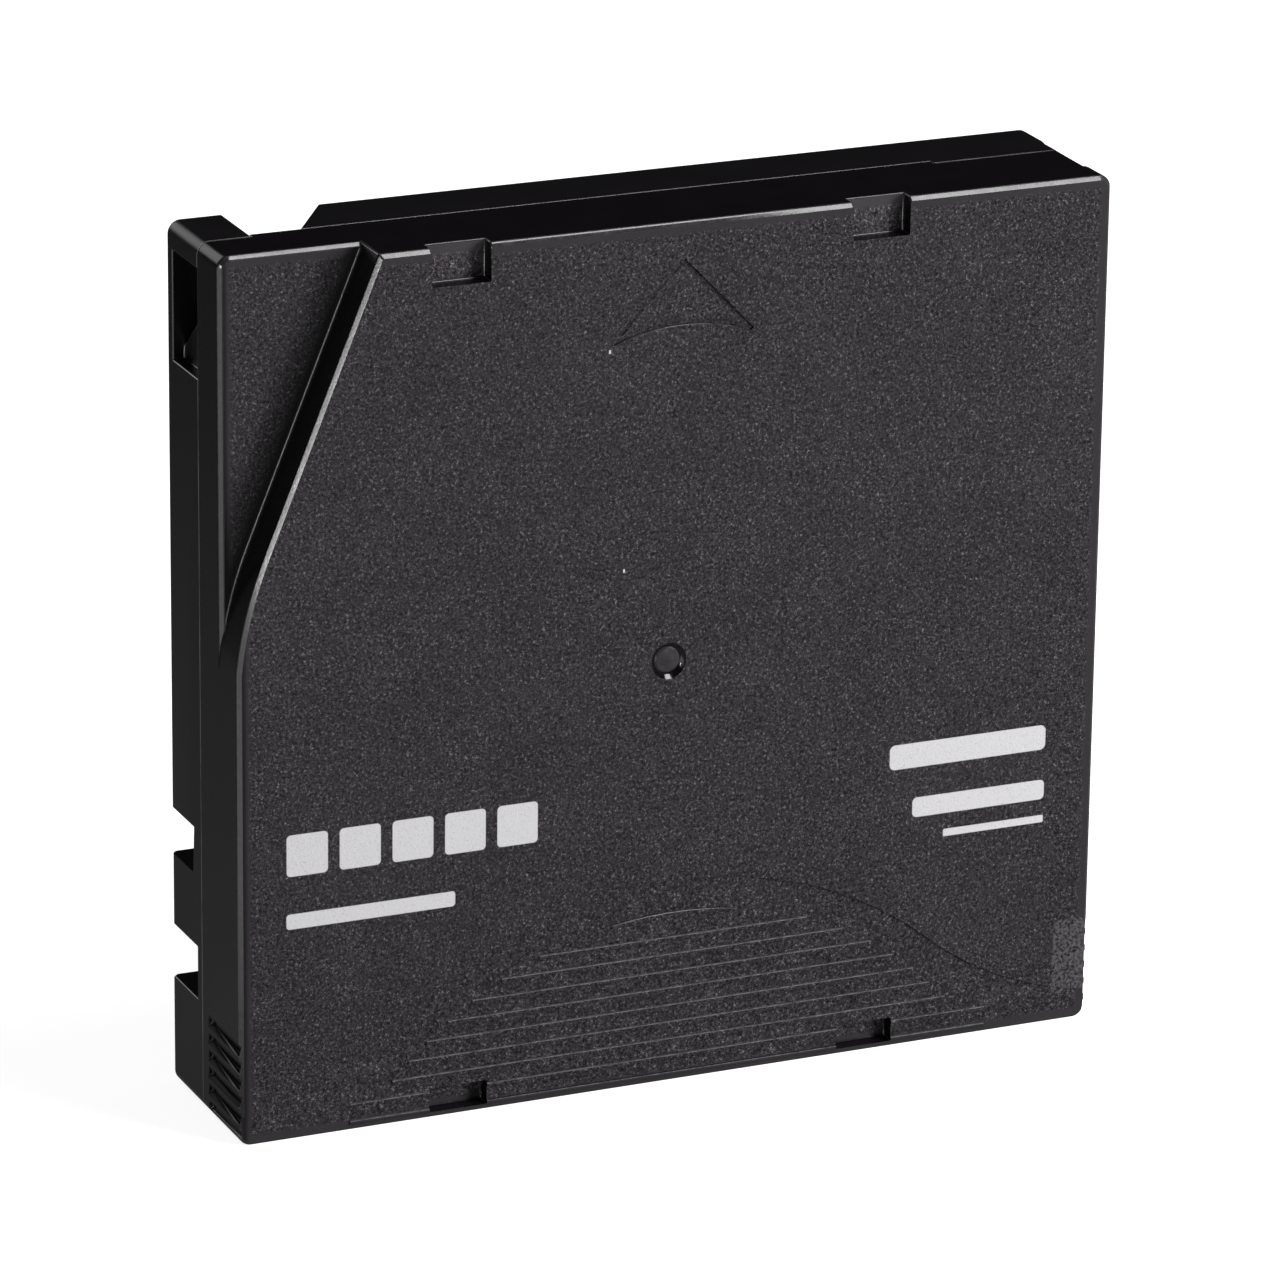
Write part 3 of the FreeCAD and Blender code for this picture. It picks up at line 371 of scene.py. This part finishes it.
def moulded(name, colour, roughness=0.4, level=0.45, speckle=0.12):
    """Satin moulded plastic for the small parts, with flow marks and a fine speckle."""
    made, tree, shader = material(name, specular_ior_level=level)
    spot = place(tree)[0]
    flow = noise(tree, spot, 3 * MM, 4.0, 0.6)
    fine = noise(tree, spot, 0.2 * MM, 2.0)
    darker = tuple(c * (1 - speckle) for c in colour)
    lighter = tuple(min(1.0, c * (1 + speckle)) for c in colour)
    tree.links.new(mix_colour(tree, spread(tree, flow, 0.3, 0.7), darker, lighter),
                   shader.inputs["Base Color"])
    tree.links.new(spread(tree, fine, 0.3, 0.7, roughness - 0.06, roughness + 0.08),
                   shader.inputs["Roughness"])
    bump(tree, shader, fine, 0.006 * MM)
    return made


def steel(name, colour, roughness, turned_about=None):
    """Metal with fine tool marks: rings about an axis, or a plain drawn grain."""
    made, tree, shader = material(name, metallic=1.0)
    spot, x, _, z = place(tree)
    marks = noise(tree, ring_spot(tree, x, z, turned_about) if turned_about else spot, 0.12 * MM,
                  3.0, 0.7)
    stain = noise(tree, spot, 2.5 * MM, 3.0)
    darker = tuple(c * 0.78 for c in colour)
    tree.links.new(mix_colour(tree, spread(tree, stain, 0.35, 0.7), colour, darker),
                   shader.inputs["Base Color"])
    tree.links.new(spread(tree, marks, 0.3, 0.7, roughness - 0.06, roughness + 0.10),
                   shader.inputs["Roughness"])
    bump(tree, shader, marks, 0.004 * MM)
    return made


def wound_tape(name):
    """Dark film whose wound edges show as fine rings on the flat sides of the pack."""
    made, tree, shader = material(name, specular_ior_level=0.6)
    _, x, _, z = place(tree)
    rings = noise(tree, ring_spot(tree, x, z, HUB), 0.09 * MM, 4.0, 0.75)
    tree.links.new(mix_colour(tree, spread(tree, rings, 0.3, 0.7), FILM_DARK, FILM_LIGHT),
                   shader.inputs["Base Color"])
    shader.inputs["Roughness"].default_value = 0.24
    bump(tree, shader, rings, 0.01 * MM)
    return made


def laminate(name):
    """Green board with faint copper coil tracks under the lacquer."""
    made, tree, shader = material(name, roughness=0.38, specular_ior_level=0.5)
    x = place(tree)[1]
    tracks = math_node(tree, "PINGPONG", math_node(tree, "ADD", x, 1.0), TRACK_PITCH)
    line = spread(tree, tracks, 0.15 * MM, 0.20 * MM)
    tree.links.new(mix_colour(tree, line, BOARD_GREEN, TRACK_GREEN), shader.inputs["Base Color"])
    bump(tree, shader, line, 0.02 * MM)
    return made


# ---------------------------------------------------------------- mesh helpers

def merged(node):
    """The CAD node's triangles joined into one clean mesh with whole flat faces."""
    mesh = bmesh.new()
    mesh.from_mesh(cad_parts[node].data)
    bmesh.ops.remove_doubles(mesh, verts=mesh.verts, dist=2e-6)
    bmesh.ops.dissolve_degenerate(mesh, edges=mesh.edges, dist=0.02 * MM)
    bmesh.ops.dissolve_limit(mesh, angle_limit=math.radians(0.4), verts=mesh.verts,
                             edges=mesh.edges, use_dissolve_boundaries=False)
    return mesh


def fold(edge):
    """Angle between the two faces that meet in an edge."""
    return edge.calc_face_angle(0.0) if len(edge.link_faces) == 2 else 0.0


def has_room(edge, least):
    """True where no edge that meets this one is shorter than the given length."""
    return all(other.calc_length() > least for v in edge.verts for other in v.link_edges)


def soften(mesh, width, chosen, material=-1, segments=2, clamped=True, careful=False):
    """Round the chosen edges of a mesh, in their own material where one is given.

    Clamped keeps the rounding from running past short edges, and careful leaves out the edges
    beside which there is no room for it.
    """
    mesh.normal_update()
    edges = [e for e in mesh.edges if chosen(e) and e.calc_length() > 0.3 * width]
    if careful:
        edges = [e for e in edges if has_room(e, 2.2 * width)]
    bmesh.ops.bevel(mesh, geom=edges, offset=width, offset_type="OFFSET", segments=segments,
                    profile=0.5, affect="EDGES", clamp_overlap=clamped, material=material)


def piece(name, mesh, materials, body, nodes):
    """Finish a mesh as an object that rides on a body in the place of its CAD nodes."""
    for face in mesh.faces:
        face.smooth = True
    data = bpy.data.meshes.new(name)
    mesh.to_mesh(data)
    mesh.free()
    for one in materials:
        data.materials.append(one)
    data.set_sharp_from_angle(angle=CRISP)
    made = bpy.data.objects.new(name, data)
    bpy.context.scene.collection.objects.link(made)
    even = made.modifiers.new("even_normals", "WEIGHTED_NORMAL")
    even.keep_sharp = True
    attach(made, body)
    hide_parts(*nodes)
    return made


def on_plane(face, y):
    """True for a flat face that lies on a level."""
    return abs(face.normal.y) > 0.98 and abs(face.calc_center_median().y - y) < ON_LEVEL


# ---------------------------------------------------------------- case

GRAINED, BEVELLED, SMOOTH, RIBBED, DIMPLED, PAINTED_LIGHT_GRAIN = range(6)     # finishes of a case half
ACROSS_BEVEL = (0.6, 1.0)           # fold between a 45 degree bevel and a flat, in radians
SQUARE_FOLD = math.radians(60)      # folds above this are corners of the moulding
UPRIGHT_FOLD = 1.4                  # and above this, in radians, crests of upright walls
BEVEL_REACH = 0.6 * MM              # a bevel's middle lies this close to the level it rims
DIMPLE_REACH = 2.3 * MM
DIMPLE_STEPS = (                    # inwards in mm, outwards in mm, finish of the ring
    (0.40, -0.40, DIMPLED),
    (0.16, -0.16, DIMPLED),
    (0.05, 0.0, DIMPLED),
    (0.15, 0.15, BEVELLED),
    (0.10, 0.03, BEVELLED),
)
MOST_DIMPLE_CORNERS = 60            # the top face has more corners than any face of the dimple


def finish_of(face, node, grained_levels):
    """Finish of one face of a case half."""
    if node == "upper_shell" and on_plane(face, FACE_Y + POCKET_DEPTH):
        return PAINTED_LIGHT_GRAIN
    if any(on_plane(face, level) for level in grained_levels):
        return GRAINED
    if engraved(face):
        return engraved_finish(face)
    if is_bevel(face):
        return BEVELLED
    return DIMPLED if in_dimple(face) else SMOOTH


def shell_piece(node, name, grained_levels, materials, careful):
    """A case half: rounded edges, grained flats, bright bevels and smooth sides."""
    mesh = merged(node)
    for face in mesh.faces:
        face.material_index = finish_of(face, node, grained_levels)
    if node == "upper_shell":
        reshape_dimple(mesh)
        soften(mesh, CREST_EDGE, on_crest, material=BEVELLED, segments=1, clamped=False)
    soften(mesh, BEVEL_EDGE,
           lambda e: ACROSS_BEVEL[0] < fold(e) < ACROSS_BEVEL[1] and rims_bevel(e), segments=3,
           clamped=False, careful=careful)
    soften(mesh, SOFT_EDGE, lambda e: fold(e) > SQUARE_FOLD and plain_edge(e),
           material=BEVELLED, segments=3, clamped=False, careful=careful)
    low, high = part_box(node)
    for vertex in mesh.verts:       # rounding never pushes a corner out of the case's box
        vertex.co = [min(max(c, least), most) for c, least, most in zip(vertex.co, low, high)]
    made = piece(name, mesh, materials, "case", [node])


def in_engraving(corners):
    """True where all corners lie between the top face and the beds of the engraving."""
    return all(FACE_Y - 0.01 * MM < v.co.y < FACE_Y + ENGRAVED_DEPTH for v in corners)


def engraved(face):
    """Walls and beds of the arrow and the bell line, cut into the top face."""
    if face.normal.y > -0.02 and abs(face.normal.y) > 0.9:
        return False
    return in_engraving(face.verts)


def engraved_finish(face):
    """Painted highlights on the crests that look towards the front edge; the arrow's right stroke is
    painted dark, its left one painted pale.
    """
    middle = face.calc_center_median()
    in_arrow = middle.z > TOP - ARROW_ZONE
    if face.normal.z > (0.9 if in_arrow else 0.3):
        return RIBBED
    # painted light and shade: the left stroke's walls take the lightened grain, the right stroke's
    # walls the dark gloss
    if in_arrow and abs(face.normal.y) < 0.5:
        return SMOOTH if middle.x > 0 else PAINTED_LIGHT_GRAIN
    return GRAINED


def from_axis(spot):
    """Distance from the reel axis."""
    return Vector((spot.x - HUB.x, spot.z - HUB.z)).length


def in_dimple(face):
    """The cone and bed of the gate dimple over the reel axis."""
    middle = face.calc_center_median()
    near = from_axis(middle) < DIMPLE_REACH and middle.y < FACE_Y + MM
    shallow = all(v.co.y < FACE_Y + MM for v in face.verts)
    return near and shallow and len(face.verts) < MOST_DIMPLE_CORNERS


def reshape_dimple(mesh):
    """Cut the gate dimple as a polished groove round a low bed with a rounded rim."""
    old = [f for f in mesh.faces if in_dimple(f) and f.material_index == DIMPLED]
    rim = [e for f in old for e in f.edges if sum(g in old for g in e.link_faces) == 1]
    bmesh.ops.delete(mesh, geom=old, context="FACES_ONLY")
    made = bmesh.ops.contextual_create(mesh, geom=rim)["faces"]
    if made[0].normal.y > 0:
        bmesh.ops.reverse_faces(mesh, faces=made)
    for thickness, depth, finish in DIMPLE_STEPS:
        ring = bmesh.ops.inset_region(mesh, faces=made, thickness=thickness * MM,
                                      depth=depth * MM, use_even_offset=True)
        for face in ring["faces"]:
            face.material_index = finish
    made[0].material_index = BEVELLED
    loose = [v for v in mesh.verts if not v.link_faces]
    bmesh.ops.delete(mesh, geom=loose, context="VERTS")


def plain_edge(edge):
    """Not part of the engraving or the gate dimple."""
    middle = (edge.verts[0].co + edge.verts[1].co) / 2
    by_dimple = from_axis(middle) < DIMPLE_REACH and middle.y < 0
    return not in_engraving(edge.verts) and not by_dimple


def rims_bevel(edge):
    """Edges between a 45 degree bevel and the flats beside it."""
    return plain_edge(edge) and any(is_bevel(f) for f in edge.link_faces)


def on_crest(edge):
    """Crests of upright engraved walls that look towards the front edge."""
    if any(abs(v.co.y - FACE_Y) > ON_LEVEL for v in edge.verts) or fold(edge) < UPRIGHT_FOLD:
        return False
    return any(f.normal.z > 0.9 and engraved(f) for f in edge.link_faces)


def is_bevel(face):
    """The narrow 45 degree bands along the rims of the top face, the shelf and the underside."""
    middle = face.calc_center_median()
    if from_axis(middle) < DIMPLE_REACH or not 0.66 < abs(face.normal.y) < 0.76:
        return False
    rimmed = (FACE_Y, FACE_Y + SHELF_DEPTH, BACK_Y)
    return min(abs(middle.y - level) for level in rimmed) < BEVEL_REACH


def guide_wall():
    """Normal and offset of the slanted wall that the tape path's guide runs along."""
    mesh = merged("upper_shell")
    slanted = [f for f in mesh.faces
               if abs(f.normal.y) < 0.02 and f.normal.x < -0.8 and f.normal.z > 0.2]
    wall = max(slanted, key=lambda f: f.calc_area())
    normal = wall.normal.copy()
    offset = normal.dot(wall.calc_center_median())
    mesh.free()
    return normal, offset


grain_printed = grained_plastic("charcoal_grain_printed", printed=True, wall=guide_wall())
grain_plain = grained_plastic("charcoal_grain")
# pocket floors lightened as painted light, against the shadow of the pocket walls
pocket_floor_painted_light = grained_plastic("charcoal_grain_pockets_painted_light", painted_light_gain=1.55)
edges = edge_plastic("rubbed_bevels")
ribs = rib_highlight_plastic("rib_painted_highlights")
dimple = smooth_plastic("gate_gloss", colour=GLOSS_BLACK_AND_FOOT_SHADE, roughness=0.14, level=0.8)
sides = smooth_plastic("gloss_black_sides")
lower_sides = smooth_plastic("gloss_black_lower_sides", colour=LOWER_BLACK, roughness=0.30,
                             level=0.34, seam=True)

shell_piece("upper_shell", "upper_half",
            (FACE_Y, FACE_Y + FIELD_DEPTH, FACE_Y + POCKET_DEPTH, FACE_Y + SHELF_DEPTH),
            [grain_printed, edges, sides, ribs, dimple, pocket_floor_painted_light], careful=False)
shell_piece("lower_shell", "lower_half", (BACK_Y,),
            [grain_plain, edges, lower_sides, ribs, dimple], careful=True)


# ---------------------------------------------------------------- small pieces

def soft_copy(node, body, finish, width=SOFT_EDGE):
    """A copy of a CAD node with its sharp edges rounded, in its own finish."""
    mesh = merged(node)
    soften(mesh, width, lambda e: fold(e) > SHARP)
    made = piece(node + "_finished", mesh, [finish], body, [node])


acetal = moulded("natural_acetal", (0.70, 0.68, 0.62))
reel_grey = moulded("reel_grey", (0.34, 0.36, 0.40), roughness=0.36)
flange_smoke = moulded("flange_smoke", (0.20, 0.21, 0.23), roughness=0.18, level=0.5)
slider_red = moulded("slider_red", (0.42, 0.028, 0.022), roughness=0.34)
door_black = smooth_plastic("door_black", colour=DOOR_BLACK, roughness=0.34)
pin_steel = steel("drawn_steel", (0.62, 0.61, 0.60), 0.26)
plate_steel = steel("turned_steel", (0.60, 0.60, 0.61), 0.30, turned_about=HUB)
screw_zinc = steel("zinc_plated_steel", (0.50, 0.50, 0.49), 0.34)
film = wound_tape("wound_film")
board = laminate("board_laminate")
resin = moulded("chip_resin", (0.018, 0.018, 0.020), roughness=0.55)

soft_copy("access_door", "door", door_black)
soft_copy("write_protect_tab", "write_protect", slider_red)
soft_copy("reel_hub", "reel", reel_grey, SOFT_TOOTH)
soft_copy("clutch_plate", "reel", plate_steel)
soft_copy("brake_release_plate", "brake_release", acetal, SOFT_TOOTH)
soft_copy("brake_button", "brake", acetal, SOFT_TOOTH)
soft_copy("tape_clamp", "case", acetal, SOFT_TOOTH)
soft_copy("leader_pin", "case", pin_steel, SOFT_TOOTH)


# Cross in a screw head, as shares of the head's radius.
CROSS_RIM, CROSS_ARM, CROSS_HALF_WIDTH, CROSS_DEPTH = 0.40, 0.56, 0.13, 0.45


def cross_corner(spoke, arm, half_width):
    """Where a corner of the ring round a cross moves to: an arm's end, or between two arms."""
    angle = math.atan2(spoke.z, spoke.x)
    quarter = round(angle / (math.pi / 2)) * math.pi / 2
    lean = angle - quarter
    if abs(abs(lean) - math.pi / 4) < math.radians(12):
        along, across = half_width, math.copysign(half_width, lean)
    else:
        along, across = arm, min(max(arm * math.tan(lean), -half_width), half_width)
    return Vector((along * math.cos(quarter) - across * math.sin(quarter), 0,
                   along * math.sin(quarter) + across * math.cos(quarter)))


def cross_recess(mesh):
    """Press a cross into the head of each screw, for the driver."""
    flats = [f for f in mesh.faces if f.normal.y > 0.99]
    top = max(f.calc_center_median().y for f in flats)
    for head in [f for f in flats if f.calc_center_median().y > top - 0.01 * MM]:
        centre = head.calc_center_median()
        reach = min((v.co - centre).length for v in head.verts)
        bmesh.ops.inset_individual(mesh, faces=[head], thickness=CROSS_RIM * reach)
        for vertex in head.verts:
            vertex.co = centre + cross_corner(vertex.co - centre, CROSS_ARM * reach,
                                              CROSS_HALF_WIDTH * reach)
        pressed = bmesh.ops.extrude_discrete_faces(mesh, faces=[head])["faces"][0]
        bmesh.ops.translate(mesh, verts=pressed.verts, vec=(0, -CROSS_DEPTH * reach, 0))
    bmesh.ops.remove_doubles(mesh, verts=mesh.verts, dist=0.002 * MM)


def finished_screws():
    """The four screws, with rounded heads and a cross recess."""
    mesh = merged("case_screws")
    soften(mesh, SOFT_HEAD,
           lambda e: fold(e) > SHARP and any(f.normal.y > 0.99 for f in e.link_faces))
    cross_recess(mesh)
    made = piece("case_screws_finished", mesh, [screw_zinc], "case", ["case_screws"])


def pressed_spring(node):
    """A coil spring seated in the case, as its own mesh on the case's body."""
    made = piece(node + "_wire", merged(node), [pin_steel], "case", [node])
    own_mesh(made)


finished_screws()
pressed_spring("brake_spring")
pressed_spring("door_spring")

PLAIN = {                           # small solids that keep their own mesh
    "upper_flange": flange_smoke,
    "tape_pack": film,
    "leader_tape": film,
    "pin_clip_lower": pin_steel,
    "pin_clip_upper": pin_steel,
    "memory_board": board,
    "memory_chip": resin,
}
for node, finish in PLAIN.items():
    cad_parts[node].data.materials.clear()
    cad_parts[node].data.materials.append(finish)


# ---------------------------------------------------------------- studio

AIM = Vector((-4.714, -10.75, 53.942)) * MM
CAMERA_DISTANCE = 0.849463
CAMERA_AZIMUTH = math.radians(23.772)
CAMERA_HEIGHT = math.radians(19.144)
CAMERA_ROLL = math.radians(0.697)
LENS = 213.85
SENSOR = 36.0

KEY_PLACE = (0.53, -0.55, 0.33)
FLOOR_HALF = 6.0
FLOOR_LIFT = 0.86                   # share of white that the floor adds to the camera's view
ROOM_GREY = (0.09, 0.09, 0.092, 1)
ROOM_IN_GLOSS = (0.010, 0.009, 0.010, 1)
# glow of the floor seen only in reflections, a painted reflection
FLOOR_IN_GLOSS_NEAR = (0.14, 0.137, 0.14)
FLOOR_IN_GLOSS_FAR = (0.060, 0.058, 0.060)


def studio_camera():
    """Long lens, a little above the cartridge and to its left."""
    look = Vector((math.sin(CAMERA_AZIMUTH) * math.cos(CAMERA_HEIGHT),
                   math.cos(CAMERA_AZIMUTH) * math.cos(CAMERA_HEIGHT),
                   -math.sin(CAMERA_HEIGHT)))
    data = bpy.data.cameras.new("camera")
    data.lens = LENS
    data.sensor_width = SENSOR
    data.clip_start = 0.05
    made = bpy.data.objects.new("camera", data)
    turn = look.to_track_quat("-Z", "Y").to_matrix().to_4x4() @ Matrix.Rotation(CAMERA_ROLL, 4, "Z")
    made.matrix_world = Matrix.Translation(AIM - look * CAMERA_DISTANCE) @ turn
    bpy.context.scene.collection.objects.link(made)
    bpy.context.scene.camera = made


def soft_light(name, place_at, size, power):
    """Square soft light that faces the cartridge."""
    data = bpy.data.lights.new(name, "AREA")
    data.shape = "RECTANGLE"
    data.size, data.size_y = size
    data.energy = power
    made = bpy.data.objects.new(name, data)
    made.location = place_at
    aim = Vector((0, 0, TOP / 2)) - made.location
    made.rotation_euler = aim.to_track_quat("-Z", "Y").to_euler()
    bpy.context.scene.collection.objects.link(made)
    return made


def plain_background(tree, colour):
    node = tree.nodes.new("ShaderNodeBackground")
    node.inputs[0].default_value = colour
    return node.outputs[0]


def by_ray(tree, ray, otherwise, where):
    """One shader for a kind of ray, another for all others."""
    path = tree.nodes.new("ShaderNodeLightPath")
    mixed = tree.nodes.new("ShaderNodeMixShader")
    tree.links.new(path.outputs[ray], mixed.inputs[0])
    tree.links.new(otherwise, mixed.inputs[1])
    tree.links.new(where, mixed.inputs[2])
    return mixed.outputs[0]


def white_room():
    """White to the camera, dim grey to everything else, and dimmest in reflections."""
    world = bpy.data.worlds.new("room")
    bpy.context.scene.world = world
    world.use_nodes = True
    tree = world.node_tree
    tree.nodes.clear()
    out = tree.nodes.new("ShaderNodeOutputWorld")
    unseen = by_ray(tree, "Is Glossy Ray", plain_background(tree, ROOM_GREY),
                    plain_background(tree, ROOM_IN_GLOSS))
    seen = by_ray(tree, "Is Camera Ray", unseen, plain_background(tree, (1, 1, 1, 1)))
    tree.links.new(seen, out.inputs[0])


def floor_in_gloss(tree):
    """What reflections see of the floor: a painted reflection that glows dim grey, darker far
    behind, with a patch that glows white front left.
    """
    spot, x, y, _ = place(tree)
    left = spread(tree, x, -0.12, -0.06, 1.0, 0.0)
    front = spread(tree, y, -0.02, 0.04, 1.0, 0.0)
    behind = mix_colour(tree, spread(tree, y, 0.05, 0.30), FLOOR_IN_GLOSS_NEAR, FLOOR_IN_GLOSS_FAR)
    seen = mix_colour(tree, math_node(tree, "MULTIPLY", left, front), behind, (1.0, 1.0, 1.0))
    glow = tree.nodes.new("ShaderNodeEmission")
    tree.links.new(seen, glow.inputs[0])
    return glow.outputs[0]


def floor_white():
    """White card that is lifted to the background's white in the camera's view."""
    finish = bpy.data.materials.new("floor_white")
    finish.use_nodes = True
    tree = finish.node_tree
    tree.nodes.clear()
    out = tree.nodes.new("ShaderNodeOutputMaterial")
    card = tree.nodes.new("ShaderNodeBsdfDiffuse")
    card.inputs[0].default_value = (0.88, 0.88, 0.88, 1)
    lift = tree.nodes.new("ShaderNodeEmission")
    lift.inputs[0].default_value = (1, 1, 1, 1)
    lift.inputs[1].default_value = FLOOR_LIFT
    both = tree.nodes.new("ShaderNodeAddShader")
    tree.links.new(card.outputs[0], both.inputs[0])
    tree.links.new(lift.outputs[0], both.inputs[1])
    seen = by_ray(tree, "Is Camera Ray", card.outputs[0], both.outputs[0])
    tree.links.new(by_ray(tree, "Is Glossy Ray", seen, floor_in_gloss(tree)), out.inputs[0])
    return finish


def pale_floor():
    """Plain pale floor that keeps the soft shadow of the cartridge."""
    mesh = bmesh.new()
    bmesh.ops.create_grid(mesh, x_segments=8, y_segments=8, size=FLOOR_HALF)
    data = bpy.data.meshes.new("floor")
    mesh.to_mesh(data)
    mesh.free()
    data.materials.append(floor_white())
    made = bpy.data.objects.new("floor", data)
    bpy.context.scene.collection.objects.link(made)


studio_camera()
white_room()
pale_floor()
soft_light("key", KEY_PLACE, (0.28, 0.28), 5.9).visible_glossy = False
soft_light("glint", KEY_PLACE, (0.08, 0.08), 0.50).visible_diffuse = False
soft_light("overhead", (0.36, -0.32, 0.90), (0.36, 0.34), 3.2)
soft_light("left_card", (-0.95, -0.55, 0.24), (0.20, 0.20), 2.6).visible_diffuse = False
soft_light("back_fill", (-0.30, 0.85, 0.42), (0.50, 0.50), 1.2)
bpy.context.scene.view_settings.view_transform = "Standard"
